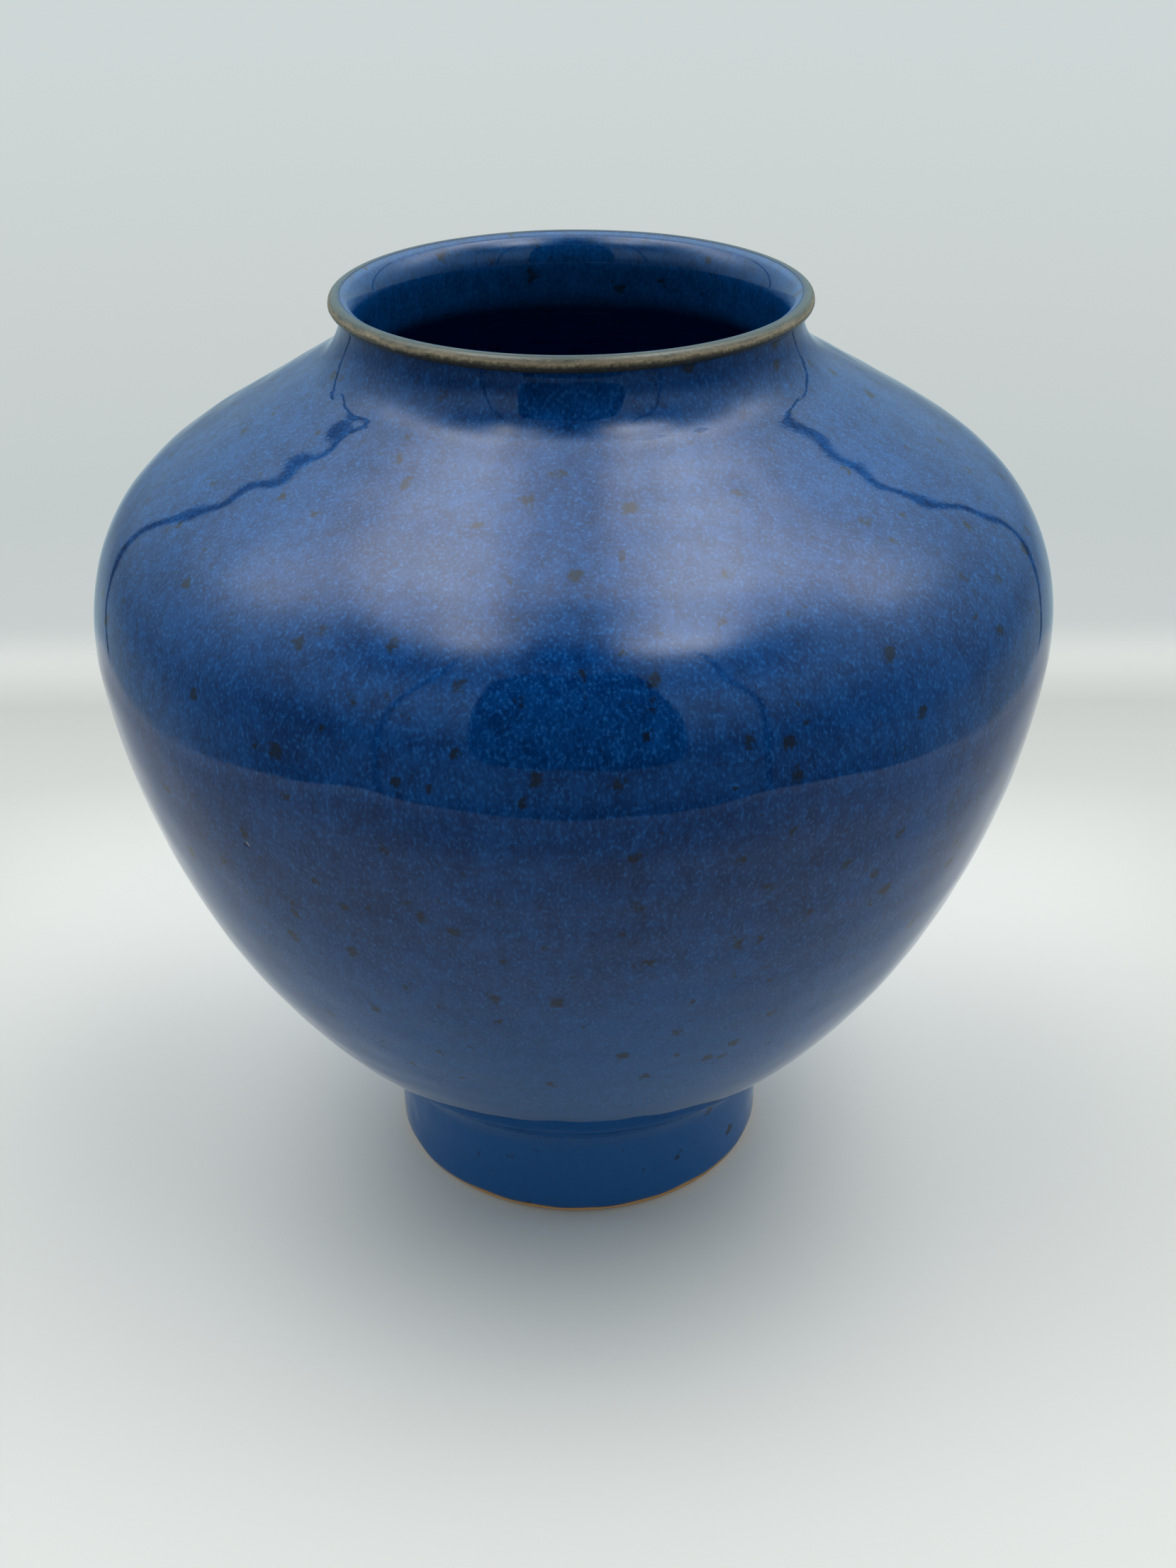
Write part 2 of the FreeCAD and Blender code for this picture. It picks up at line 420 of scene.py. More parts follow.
def linear(colour: str) -> tuple[float, float, float, float]:
    """A hex sRGB colour as linear light: each channel over 12.92 in the darks, and else the channel plus
    0.055, over 1.055, to the power 2.4."""
    parts = [int(colour[i:i + 2], 16) / 255 for i in (1, 3, 5)]
    return (*[c / 12.92 if c <= 0.04045 else ((c + 0.055) / 1.055) ** 2.4 for c in parts], 1.0)


def add_node(tree: NodeTree, kind: str, inputs: dict | list | tuple = (),
             **settings: object) -> Node:
    """Adds a node with its settings and its inputs.

    Args:
        tree: The node tree.
        kind: The node's type, without the common start of its name, and its main option after a colon.
        inputs: By name, or in the order of the inputs in use: a value, an output to link, or a node whose
            first output in use is linked.
        settings: Values for the node's other properties.

    Returns:
        The new node.
    """
    kind, _, option = kind.partition(":")
    made = tree.nodes.new("ShaderNode" + kind)
    if option:
        setattr(made, OPTIONS[kind], option)
    for title, value in settings.items():
        setattr(made, title, value)
    sockets = [socket for socket in made.inputs if socket.enabled]
    if isinstance(inputs, dict):
        sockets = [next(socket for socket in sockets if socket.name == title) for title in inputs]
        inputs = list(inputs.values())
    for socket, value in zip(sockets, inputs):
        if isinstance(value, Node):
            value = next(output for output in value.outputs if output.enabled)
        if isinstance(value, NodeSocket):
            tree.links.new(value, socket)
        else:
            socket.default_value = value
    return made


def shade(name: str) -> tuple[Material, Adder, NodeSocket]:
    """A new empty node material, what adds a node to its tree, and its Object coordinates."""
    material = bpy.data.materials.new(name)
    material.use_nodes = True
    material.node_tree.nodes.clear()
    add = partial(add_node, material.node_tree)
    return material, add, add("TexCoord").outputs["Object"]


def per_mm(size: float) -> float:
    """The scale of a pattern whose features are that many millimetres across, on coordinates in metres."""
    return 1.0 / (size * MM)


@dataclass(frozen=True)
class Stop:
    """One colour of a ramp."""

    at: float
    colour: str


def paint_ramp(ramp: Node, stops: tuple[Stop, ...]) -> None:
    """Gives a colour ramp node its stops."""
    elements = ramp.color_ramp.elements
    while len(elements) > 1:
        elements.remove(elements[-1])
    elements[0].position = stops[0].at
    elements[0].color = linear(stops[0].colour)
    for stop in stops[1:]:
        elements.new(stop.at).color = linear(stop.colour)


@dataclass(frozen=True)
class Spots:
    """Scattered soft spots, one about the feature point of some of the cells of a pattern."""

    cell_mm: float          # the mean distance between feature points
    share: float            # the share of the cells that have a spot
    reach: float            # the largest spot's radius, over the cell
    soft: float             # how much of the radius the edge takes to fade
    smallest: float = 0.35  # the smallest spot over the largest

    def mask(self, add: Adder, place: Source) -> Node:
        """A mask of the spots: a cell has one where its random number is under the share, and the mask is
        1 where the feature point is nearer than the cell's random reach.

        Args:
            add: What adds a node to the tree.
            place: The coordinates.

        Returns:
            The mask.
        """
        cells = add("TexVoronoi", [place, per_mm(self.cell_mm)])
        lot = add("SeparateColor", [cells.outputs["Color"]])
        chosen = add("Math:LESS_THAN", [lot.outputs["Red"], self.share])
        size = add("MapRange", [lot.outputs["Green"], 0.0, 1.0, self.reach * self.smallest, self.reach])
        ratio = add("Math:DIVIDE", [cells.outputs["Distance"], size])
        spot = add("MapRange:SMOOTHSTEP", [ratio, 1.0, 1.0 - self.soft])
        return add("Math:MULTIPLY", [spot, chosen])


@dataclass(frozen=True)
class Glaze:
    """A cobalt blue stoneware glaze, dipped and fired glossy in reduction.

    The eye sees a deep blue glass full of fine pale crystals and dark pits, with blurred brown iron
    specks from the clay, a few pinholes with painted shade in them, and a slightly orange-peeled surface
    over soft ripples.
    """

    name: str
    deep: str = "#032A54"
    middle: str = "#094477"
    pale: str = "#3A78AE"
    iron: str = "#171E26"
    # painted shade inside the pinholes, which are also bumped in
    pinhole_shade: str = "#0A0E16"
    foot_tone: str = "#0B4474"
    run_tone: str = "#1B5D90"
    tone_top: float = 0.030     # the height where the foot's tone begins, and where it is full
    tone_low: float = 0.018
    tone_share: float = 0.7
    run_top: float = 0.105      # the height where the run glaze's tone begins, and where it is full
    run_low: float = 0.055
    run_share: float = 0.45
    drawn_out: float = 0.6      # the fine patterns' scale down the wall, over the scale across it
    fleck_mm: float = 0.52
    mottle_mm: float = 2.4
    cloud_mm: float = 26.0
    ruffle_mm: float = 1.6
    ruffle: tuple[float, float, float] = (0.0040, 0.0040, 0.0048)
    specks: Spots = Spots(6.6, 0.95, 0.27, 0.5)
    fine_specks: Spots = Spots(3.4, 0.70, 0.21, 0.6)
    fine_share: float = 0.6
    iron_share: float = 0.8
    pinholes: Spots = Spots(34.0, 0.60, 0.036, 0.5)
    pinhole_depth_mm: float = 0.25
    roughness: float = 0.045
    ior: float = 1.5
    specular: float = 0.5
    peel_mm: float = 0.9
    peel_depth_mm: float = 0.004

    def make(self) -> Material:
        """Builds the material.

        Returns:
            The glaze as a node material on Object coordinates.
        """
        material, add, here = shade(self.name)
        # The glaze runs a little as it melts, so its crystals are drawn out down the wall.
        drawn = add("Mapping", {"Vector": here, "Scale": (1.0, 1.0, self.drawn_out)})
        fleck, mottle, cloud, ruffle, peel = [
            add("TexNoise", [place, per_mm(size), detail, rough])
            for place, size, detail, rough in (
                (drawn, self.fleck_mm, 2.0, 0.55), (drawn, self.mottle_mm, 4.0, 0.6),
                (here, self.cloud_mm, 3.0, 0.55), (here, self.ruffle_mm, 3.0, 0.7),
                (here, self.peel_mm, 2.0, 0.5))]
        blend = -0.35
        for pattern, share in ((fleck, 0.7), (mottle, 0.9), (cloud, 0.7)):
            blend = add("Math:MULTIPLY_ADD", [pattern, share, blend])
        height = add("SeparateXYZ", [here]).outputs["Z"]
        # Over the deep glass lie a lighter glass in patches, pale crystals on the brightest tips of the
        # fine pattern, the foot's own tone where the coat is thicker, and milkier glass where it has run.
        colour = linear(self.deep)
        for source, start, full, most, tone in (
                (blend, 0.45, 1.15, 1.0, self.middle), (fleck, 0.50, 0.78, 0.26, self.pale),
                (height, self.tone_top, self.tone_low, self.tone_share, self.foot_tone),
                (height, self.run_top, self.run_low, self.run_share, self.run_tone)):
            share = add("MapRange:SMOOTHSTEP", [source, start, full, 0.0, most])
            colour = add("Mix:RGBA", [share, colour, linear(tone)])
        # Iron specks of two sizes, with ruffled edges, and then the pinholes, whose dark colour is painted
        # shade inside them.
        ruffled = add("VectorMath:MULTIPLY_ADD", [ruffle.outputs["Color"], self.ruffle, here])
        large, small = self.specks.mask(add, ruffled), self.fine_specks.mask(add, ruffled)
        iron = add("Math:MULTIPLY_ADD", [small, self.fine_share, large], use_clamp=True)
        iron = add("Math:MULTIPLY", [iron, self.iron_share])
        pits = self.pinholes.mask(add, here)
        for mask, tone in ((iron, self.iron), (pits, self.pinhole_shade)):
            colour = add("Mix:RGBA", [mask, colour, linear(tone)])
        peeled = add("Bump", {"Height": peel, "Distance": self.peel_depth_mm * MM, "Strength": 1.0})
        pitted = add("Bump", {
            "Height": pits, "Distance": self.pinhole_depth_mm * MM, "Strength": 1.0, "Normal": peeled},
            invert=True)
        gloss = add("MapRange", [mottle, 0.3, 0.7, self.roughness * 0.8, self.roughness * 1.3])
        surface = add("BsdfPrincipled", {
            "Base Color": colour, "Roughness": gloss, "Normal": pitted, "IOR": self.ior,
            "Specular IOR Level": self.specular})
        add("OutputMaterial", [surface])
        return material


@dataclass(frozen=True)
class LipGlaze:
    """The same glaze where it thins and breaks over the rolled lip.

    From the crease up, the eye sees a dark line of pooled glaze, smoky olive brown glass, a rough buff
    ridge over the top of the roll where the clay shows through, and grey-green glass that turns blue
    towards the throat.
    """

    name: str = "glaze_broken_over_the_lip"
    wander_mm: float = 7.0
    grit_mm: float = 0.7
    grit_depth_mm: float = 0.10
    roughness: float = 0.16
    bare_roughness: float = 0.5
    ior: float = 1.5
    specular: float = 0.5

    def make(self) -> Material:
        """Builds the material, on the lip's own mark that runs from 0 in the crease to 1 in the throat.

        Returns:
            The node material.
        """
        material, add, here = shade(self.name)
        around = add("Attribute", attribute_name="roll").outputs["Fac"]
        wander, grit = [
            add("TexNoise", [here, per_mm(size), detail, rough])
            for size, detail, rough in ((self.wander_mm, 4.0, 0.65), (self.grit_mm, 3.0, 0.7))]
        # The bands wander up and down and have gritty edges.
        place = add("Math:MULTIPLY_ADD", [wander, 0.30, around])
        place = add("Math:MULTIPLY_ADD", [grit, 0.16, place])
        place = add("Math:SUBTRACT", [place, 0.23])
        ramp = add("ValToRGB", [place])
        paint_ramp(ramp, (
            Stop(0.02, "#0A1E3A"), Stop(0.08, "#20272D"), Stop(0.20, "#353731"), Stop(0.35, "#45433A"),
            Stop(0.44, "#4C483C"), Stop(0.50, "#6E6656"), Stop(0.56, "#857B69"), Stop(0.62, "#6A6355"),
            Stop(0.69, "#42463F"), Stop(0.78, "#38423F"), Stop(0.88, "#25363D"), Stop(0.97, "#0C2C48")))
        spread = add("MapRange", [grit, 0.3, 0.7, 0.72, 1.2])
        colour = add("Mix:RGBA", [1.0, ramp, spread], blend_type="MULTIPLY")
        # The ridge is bare where its lower edge has begun and its upper edge hasn't.
        begun, left = [add("MapRange:SMOOTHSTEP", [place, start, full])
                       for start, full in ((0.42, 0.52), (0.70, 0.64))]
        bare = add("Math:MULTIPLY", [begun, left])
        rough, relief = [
            add("MapRange", [bare, 0.0, 1.0, glazed, clay])
            for glazed, clay in ((self.roughness, self.bare_roughness), (0.15, 1.0))]
        bump = add("Bump", {"Height": grit, "Distance": self.grit_depth_mm * MM, "Strength": relief})
        surface = add("BsdfPrincipled", {
            "Base Color": colour, "Roughness": rough, "Normal": bump, "IOR": self.ior,
            "Specular IOR Level": self.specular})
        add("OutputMaterial", [surface])
        return material


@dataclass(frozen=True)
class BareClay:
    """Buff stoneware clay, thrown, turned with a loop tool and fired bare.

    The eye sees a dry warm tan with lighter clouds, a fine sandy tooth and dark iron grains.
    """

    name: str = "bare_buff_stoneware"
    body: str = "#B08A5E"
    light: str = "#C9A67C"
    iron: str = "#4A3424"
    cloud_mm: float = 9.0
    grain_mm: float = 0.5
    grain_depth_mm: float = 0.08
    roughness: float = 0.82

    def make(self) -> Material:
        """Builds the material.

        Returns:
            The node material on Object coordinates.
        """
        material, add, here = shade(self.name)
        cloud, grain = [
            add("TexNoise", [here, per_mm(size), detail, rough])
            for size, detail, rough in ((self.cloud_mm, 4.0, 0.6), (self.grain_mm, 3.0, 0.7))]
        spot = add("MapRange:SMOOTHSTEP", [grain, 0.62, 0.74, 0.0, 0.7])
        colour = linear(self.body)
        for mask, tone in ((cloud, self.light), (spot, self.iron)):
            colour = add("Mix:RGBA", [mask, colour, linear(tone)])
        bump = add("Bump", {"Height": grain, "Distance": self.grain_depth_mm * MM, "Strength": 0.8})
        surface = add("BsdfPrincipled", {
            "Base Color": colour, "Roughness": self.roughness, "Normal": bump})
        add("OutputMaterial", [surface])
        return material


# Sub-assemblies


def finish(piece: Object, material: Material, slot: Slot, *nodes: str) -> None:
    """Dresses a piece, rides it on the vase's one body, and hides the CAD nodes that it stands for.

    Args:
        piece: The piece.
        material: Its material.
        slot: Not used.
        nodes: The CAD nodes that it replaces.
    """
    piece.data.materials.append(material)
    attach(piece, ROOT)
    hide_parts(*nodes)
    log.info("dressed %s in %s", piece.name, material.name)


@dataclass
class ThrownClay:
    """The fired clay: the turned foot ring and the thrown body that stands on it."""

    outline: Outline
    sides: int = 320
    spacing: float = 2.4
    tool_step: float = 2.1      # from one turning line to the next, under the foot
    tool_depth: float = 0.10
    tool_reach: float = 29.0    # the radius that the lines under the floor go out to
    tooth: float = 0.05

    def ring_section(self) -> Array:
        """The foot ring, anticlockwise: underside, outer side, top and inner side."""
        o = self.outline
        edge, top_height = o.foot_edge, o.foot_recess
        outer = o.foot_side(o.glaze, 0)[0]
        inner = outer - o.foot_ring_width
        outer_low = o.foot_side(o.glaze, edge)
        heel = arc(point(outer - edge, edge), point(outer - edge, 0), outer_low, 9)
        toe = arc(point(inner + edge, edge), point(inner, edge), point(inner + edge, 0), 9)
        top = o.foot_side(o.glaze, top_height)
        side = resample(np.array([outer_low, top]), 1.0)
        across = resample(np.array([top, point(inner, top_height)]), 1.3)
        down = resample(np.array([point(inner, top_height), point(inner, edge)]), 0.6)
        under = resample(np.array([point(inner + edge, 0), point(outer - edge, 0)]), 0.45)
        return chain(under, heel, side, across, down, toe)[:-1]

    def ring(self) -> Object:
        """Builds the foot ring, with turning lines on its inner side and a slightly uneven underside."""
        o = self.outline
        section = self.ring_section()
        angle, run = angles(self.sides), running(section)
        radius, height = section[:, :1], section[:, 1:]
        inner = o.foot_side(o.glaze, 0)[0] - o.foot_ring_width
        inside = (np.abs(radius - inner) < 0.05) & (height < o.foot_recess - 0.6)
        lines = 0.5 - 0.5 * np.cos(2 * math.pi * height / self.tool_step + angle)
        worn = 0.5 + 0.5 * waves(angle, run, 35.0, (3.0, 9.0), 18, SEED + 1) / 2.2
        relief = np.where(inside, -self.tool_depth * lines, 0.0)
        relief = relief + np.where(height < 0.02, -self.tooth * np.clip(worn, 0, 1), 0.0)
        return Turned("foot_ring_clay", section, self.sides, relief).build()

    def body_section(self) -> Array:
        """The thrown body, from the middle of the recess out and up the outside, over and down inside."""
        o = self.outline
        under = resample(np.array([point(0, o.foot_recess), o.foot_side(o.glaze, o.foot_recess)]), 0.55)
        out = resample(o.outside(o.glaze, o.foot_recess), self.spacing)
        top = o.crease(o.glaze)
        neck = point(o.flare_radius(o.glaze, top[1]), top[1])
        inside = o.inside(o.glaze)
        inside = inside[inside[:, 1] <= top[1]]
        back = resample(chain(inside, neck), self.spacing)[::-1]
        return chain(under, out, back)

    def body(self) -> Object:
        """Builds the body. Under the floor the loop tool leaves a spiral of shallow lines."""
        section = self.body_section()
        radius, height = section[:, :1], section[:, 1:]
        under = (np.abs(height - self.outline.foot_recess) < 1e-3) & (radius < self.tool_reach)
        lines = 0.5 - 0.5 * np.cos(2 * math.pi * radius / self.tool_step - angles(self.sides))
        fade = smooth_step(radius, 1.0, 6.0)
        relief = np.where(under, -self.tool_depth * 1.5 * lines * fade, 0.0)
        return Turned("thrown_body_clay", section, self.sides, relief).build()

    def dress(self, clay: Material) -> None:
        """Builds and finishes both clay pieces, and gives the CAD lip the same clay."""
        finish(self.ring(), clay, Slot.CLAY, "foot_ring")
        finish(self.body(), clay, Slot.CLAY, "thrown_body")
        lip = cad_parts["rolled_lip"]
        lip.data.materials.clear()
        lip.data.materials.append(clay)


@dataclass
class Coat:
    """A coat of glaze on the vase, which stands for one CAD node. Each kind builds its own piece."""

    outline: Outline
    slot: ClassVar[Slot]
    node: ClassVar[str]

    def dress(self, glaze: Material) -> None:
        """Builds and finishes the coat."""
        finish(self.build(), glaze, self.slot, self.node)


@dataclass
class OuterCoat(Coat):
    """The coat of glaze over the outside, from the bare band at the foot up to the crease."""

    slot = Slot.BLUE
    node = "body_glaze"
    sides: int = 384
    spacing: float = 1.25
    fine_top: float = 4.4       # the height up to which the section is finer
    ring_step: float = 8.5      # from one throwing ridge to the next
    ring_depth: float = 0.03
    ripple_depth: float = 0.045
    ripple_radius: float = 80.0
    deepest: float = 0.16
    edge_wander: float = 0.38
    edge_reach: float = 3.0

    def section(self) -> tuple[Array, int]:
        """The coat's closed section, up the outside and down its back.

        Returns:
            The section, and how many of its points lie on the outer surface.
        """
        o = self.outline
        low = o.foot_side(0, o.bare_band + o.glaze)
        clay = o.foot_side(o.glaze, o.bare_band)
        edge = arc(clay + point(0, o.glaze), clay, low, 6)
        fine = resample(np.array([low, o.foot_side(0, self.fine_top)]), 0.4)
        front = chain(edge, fine, resample(o.outside(0, self.fine_top), self.spacing))
        back = resample(o.outside(o.glaze, o.bare_band), self.spacing * 4)[::-1]
        return chain(front, back)[:-1], len(front)

    def build(self) -> Object:
        """Builds the coat. Its free surface lies a little below the outline, by twice the deepest ripple
        at most: throwing ridges that climb one step in a turn, and uneven ripples from brushing and
        running. Its lower edge wanders up and down, which fades out a few millimetres up.

        Returns:
            The piece.
        """
        o = self.outline
        section, front = self.section()
        angle, run, height = angles(self.sides), running(section), section[:, 1:]
        swell, fine, broad = [
            waves(angle, run, self.ripple_radius, length, count, seed)
            for length, count, seed in (
                ((60.0, 160.0), 8, SEED + 2), ((7.0, 16.0), 26, SEED + 3), ((18.0, 45.0), 20, SEED + 4))]
        ridges = np.cos(2 * math.pi * run / self.ring_step + angle) * (0.6 + 0.4 * swell)
        depth = self.ring_depth * ridges + self.ripple_depth * (0.45 * fine + 1.0 * broad)
        depth = np.clip(depth, -self.deepest, self.deepest) - self.deepest
        ease = smooth_step(height, 2.0, 8.0) * smooth_step(run[front - 1] - run, 0.0, 6.0)
        relief = np.where(np.arange(len(section))[:, None] < front, depth * ease, 0.0)
        wander = self.edge_wander * waves(angle, np.zeros((1, 1)), 38.0, (8.0, 50.0), 10, SEED + 5) / 1.5
        near = 1 - smooth_step(height, o.bare_band + 0.2, o.bare_band + self.edge_reach)
        lift = np.clip(wander, -0.7, 0.7) * near
        return Turned("body_glaze_coat", section, self.sides, relief, lift).build()


@dataclass
class LipCoat(Coat):
    """The thin coat over the rolled lip, with a gritty ridge where it has drawn back from the top."""

    slot = Slot.LIP
    node = "lip_glaze"
    sides: int = 840
    spacing: float = 0.18
    wave_radius: float = 42.0
    ridge_height: float = 0.10
    sink: float = 0.03
    outer_rise: float = 0.05    # how far grains may stand out on the outer side, and nowhere else

    def build(self) -> Object:
        """Builds the coat: round in section and a little sunk and uneven. Grains roughen the ridge, but
        past the outer side nothing rises above the outline, which keeps the vase's height.

        Returns:
            The piece, with the mark that runs from the crease to the throat.
        """
        o = self.outline
        front = resample(o.roll(0), self.spacing)
        back = resample(o.roll(o.glaze), self.spacing * 2.5)[::-1]
        section = chain(front, back)
        angle, run = angles(self.sides), running(section)
        share = np.clip(run / run[len(front) - 1], 0, 1)
        grains = waves(angle, run, self.wave_radius, (0.9, 2.2), 26, SEED + 6)
        swell = waves(angle, run, self.wave_radius, (8.0, 30.0), 10, SEED + 7)
        ridge = smooth_step(share, 0.36, 0.46) * (1 - smooth_step(share, 0.60, 0.70))
        over = smooth_step(share, 0.0, 0.1) * (1 - smooth_step(share, 0.9, 1.0))
        relief = self.ridge_height * ridge * (0.5 + 0.4 * grains) - self.sink * over * (1 + 0.6 * swell)
        relief = np.minimum(relief, self.outer_rise * (share < 0.45))
        relief = np.where(np.arange(len(section))[:, None] < len(front), relief, 0.0)
        return Turned("lip_glaze_coat", section, self.sides, relief, marks={"roll": share}).build()


@dataclass
class InnerCoat(Coat):
    """The coat inside, poured in and drained, over the finger ridges of the throwing."""

    slot = Slot.LINER
    node = "liner_glaze"
    sides: int = 320
    spacing: float = 1.5
    ridge_step: float = 9.0
    ridge_depth: float = 0.14

    def build(self) -> Object:
        """Builds the coat: finger ridges climb one step in a turn, and fade on the floor and the throat.

        Returns:
            The piece.
        """
        o = self.outline
        clay = resample(o.inside(o.glaze), self.spacing * 3)
        section = chain(clay, resample(o.inside(0), self.spacing)[::-1])
        ridges = 0.5 - 0.5 * np.cos(2 * math.pi * running(section) / self.ridge_step + angles(self.sides))
        fade = smooth_step(section[:, :1], 4.0, 25.0) * (1 - smooth_step(section[:, 1:], 160.0, 168.0))
        free = np.arange(len(section))[:, None] >= len(clay)
        relief = np.where(free, self.ridge_depth * (ridges - 1.0) * fade, 0.0)
        return Turned("liner_glaze_coat", section, self.sides, relief).build()


# Studio


@dataclass(frozen=True)
class Lamp:
    """A soft patch of light, or of shade where its peak is negative, on the tent's cloth: where it is,
    how bright and how wide."""

    azimuth: float
    elevation: float
    peak: float = 1.0
    spread: float = 1.0

    def way(self) -> tuple[float, float, float]:
        """The unit direction: azimuth 0 is towards the camera and 90 to its right."""
        level = math.cos(math.radians(self.elevation))
        return (level * math.sin(math.radians(self.azimuth)),
                -level * math.cos(math.radians(self.azimuth)),
                math.sin(math.radians(self.elevation)))


@dataclass
class Studio:
    """A pale floor inside a soft light tent, and the camera."""

    floor_reach: float = 0.62
    floor_rings: int = 40
    floor_spokes: int = 96
    side: float = 0.33          # from the axis to the tent's side walls
    front: float = 0.36
    back: float = 0.25
    strength: float = 0.85
    opening_half_width: float = 0.46    # over the distance to the front wall
    opening_middle: float = 0.74
    opening_half_height: float = 0.80
    opening_power: float = 6.0
    seam_slope: float = 0.93            # a seam's distance to the side over its distance in depth
    curve_top: float = 3.0
    lit_wall: Wall = (
        (-1.0, 0.75), (-0.26, 0.75), (-0.09, 0.62), (0.09, 0.90), (0.26, 1.20), (0.42, 1.60),
        (0.57, 2.10), (0.71, 2.40), (0.82, 2.20), (0.94, 1.60), (1.0, 1.40))
    front_wall: Wall = (
        (-1.0, 0.20), (-0.42, 0.10), (-0.32, 0.20), (-0.22, 0.34), (-0.05, 0.34), (0.09, 0.26), (0.26, 0.60),
        (0.42, 1.05), (0.57, 1.20), (0.82, 1.00), (0.91, 0.90), (0.97, 0.95), (1.0, 1.40))
    lamps: tuple[Lamp, ...] = (
        Lamp(-121, 68, 4.2, 10), Lamp(121, 68, 4.6, 10),
        Lamp(-110, 44, 1.6, 9), Lamp(110, 44, 2.0, 9),
        Lamp(-50, 67, 4.2, 7), Lamp(48, 66, 6.6, 7), Lamp(0, 71, -1.2, 13),
        Lamp(-52, 53, -0.7, 8), Lamp(52, 53, -0.7, 8),
        Lamp(-84, 75, 2.8, 9), Lamp(84, 75, 3.1, 9),
    )
    panels: tuple[tuple[str, float, float, float], ...] = (
        ("left_softbox", -118.0, 62.0, 0.8), ("right_softbox", 118.0, 62.0, 0.9),
        ("front_fill", 0.0, 9.0, 4.0), ("left_fill", -100.0, 14.0, 1.6), ("right_fill", 100.0, 14.0, 1.6),
        ("back_fill", 180.0, 16.0, 1.2),
    )
    panel_size: float = 0.6
    panel_distance: float = 1.1
    panel_aim: tuple[float, float, float] = (0.0, 0.0, 0.09)
    camera_place: tuple[float, float, float] = (0.0024, -0.3368, 0.2694)
    camera_pitch: float = 0.5142
    camera_roll: float = 0.0064
    lens: float = 58.59
    sensor: float = 36.0
    gamma: float = 0.8

    def floor(self) -> Object:
        """The floor: a disc of rings and spokes, x the radius times the cosine, y times the sine."""
        spokes = self.floor_spokes
        radius = np.geomspace(0.02, self.floor_reach, self.floor_rings)
        angle = angles(spokes)[0]
        ring = np.stack([np.outer(radius, np.cos(angle)), np.outer(radius, np.sin(angle)),
                         np.zeros((len(radius), spokes))], axis=2).reshape(-1, 3)
        points = np.concatenate([[[0.0, 0.0, 0.0]], ring])
        index = 1 + np.arange(len(radius) * spokes).reshape(-1, spokes)
        beside = np.roll(index, -1, axis=1)
        quads = np.stack([index[:-1], index[1:], beside[1:], beside[:-1]], axis=2).reshape(-1, 4)
        fan = np.stack([np.zeros(spokes, dtype=int), index[0], beside[0]], axis=1)
        mesh = bpy.data.meshes.new("studio_floor")
        mesh.from_pydata(points.tolist(), [], quads.tolist() + fan.tolist())
        mesh.update()
        made = put("studio_floor", mesh)
        made.data.materials.append(self.cloth())
        return made

    def cloth(self) -> Material:
        """Pale tent cloth: a matt floor painted with the tent's light and shade: lightest round the vase,
        dimming outwards and towards the opening, and a little lighter at the fold, where it fades into the
        walls."""
        material, add, here = shade("pale_tent_cloth")
        part = add("SeparateXYZ", [here]).outputs
        aside = add("Math:ABSOLUTE", [part["X"]])
        # How far out a place is towards each wall, then towards the nearest with rounded corners.
        across, behind, ahead = [
            add("Math:DIVIDE", [place, reach])
            for place, reach in ((aside, self.side), (part["Y"], self.back), (part["Y"], -self.front))]
        deep = add("Math:SMOOTH_MAX", [behind, ahead, 0.1])
        far = add("Math:SMOOTH_MAX", [deep, across, 0.3])
        # The ramp is painted light and shade: lightest near the vase, darker outwards, and lighter again at
        # the fold.
        ramp = add("ValToRGB", [far])
        paint_ramp(ramp, (
            Stop(0.0, "#C8C6C4"), Stop(0.25, "#BAB8B6"), Stop(0.40, "#ADACAA"), Stop(0.58, "#9E9D9B"),
            Stop(0.76, "#979694"), Stop(0.92, "#A5A4A2")))
        # In front of the opening, out of the lamps' reach, the floor is dimmer.
        forward, inner = [
            add("MapRange:SMOOTHSTEP", [place, start, full, 0.0, most])
            for place, start, full, most in ((ahead, 0.36, 0.80, 1.0), (across, 1.0, 0.25, 0.42))]
        dim = add("Math:MULTIPLY", [forward, inner])
        colour = add("Mix:RGBA", [dim, ramp, linear("#000000")])
        surface = add("BsdfPrincipled", {"Base Color": colour, "Roughness": 0.95, "Specular IOR Level": 0.0})
        gone = add("BsdfTransparent")
        start = add("MapRange", [part["Y"], -0.05, 0.05, 0.96, 0.84])
        edge = add("MapRange:SMOOTHSTEP", [far, start, 1.02])
        both = add("MixShader", [edge, surface, gone])
        add("OutputMaterial", [both])
        return material

    def wall_light(self, add: Adder, z: Source, points: Wall) -> Node:
        """A wall's brightness against the sine of the elevation, as a curve through its points.

        Args:
            add: What adds a node to the world's tree.
            z: The upward part of the direction.
            points: Pairs of that sine and the brightness.

        Returns:
            The brightness over the curve's top.
        """
        climb = add("MapRange", [z, -1.0, 1.0])
        wall = add("FloatCurve", {"Value": climb})
        curve = wall.mapping.curves[0]
        places = [((at + 1) / 2, value / self.curve_top) for at, value in points]
        curve.points[0].location = places[0]
        curve.points[1].location = places[-1]
        for place in places[1:-1]:
            curve.points.new(*place)
        wall.mapping.update()
        return wall

    def tent(self) -> None:
        """The light tent as the world: cloth walls that grow brighter upwards, soft lamp patches, thin
        corner seams, and the dark opening that the camera looks through. The camera itself sees only
        plain pale cloth."""
        world = bpy.data.worlds.new("light_tent")
        bpy.context.scene.world = world
        world.use_nodes = True
        world.node_tree.nodes.clear()
        add = partial(add_node, world.node_tree)
        way = add("TexCoord").outputs["Generated"]
        part = add("SeparateXYZ", [way]).outputs
        x, y, z = part["X"], part["Y"], part["Z"]
